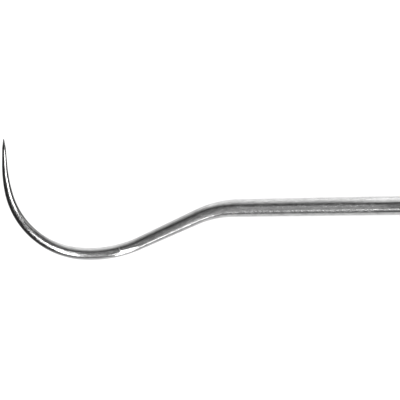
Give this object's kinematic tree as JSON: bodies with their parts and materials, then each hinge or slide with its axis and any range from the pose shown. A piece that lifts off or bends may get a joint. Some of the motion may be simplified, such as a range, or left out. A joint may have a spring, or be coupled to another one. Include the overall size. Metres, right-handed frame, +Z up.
{
  "type": "dental explorer",
  "caption": "Steel dental explorer: octagonal handle with turned grip rings, tapered shank bent at the shoulder, and a wide open hook that ends in a needle point.",
  "frame": {"origin": "middle of the handle's lower flat, on which the explorer lies", "axes": "+X along the handle from its nose to its butt, +Y the way the hook's point looks, +Z up from the surface it lies on; the hook's plane is level, at the height of the handle's axis"},
  "size_m": [0.1644, 0.0123, 0.0063],
  "materials": {
    "satin_steel": "satin",
    "polished_steel": "polished along the wire"
  },
  "bodies": {
    "root": {"handle": "satin_steel", "working_end": "polished_steel"}
  },
  "joints": []
}
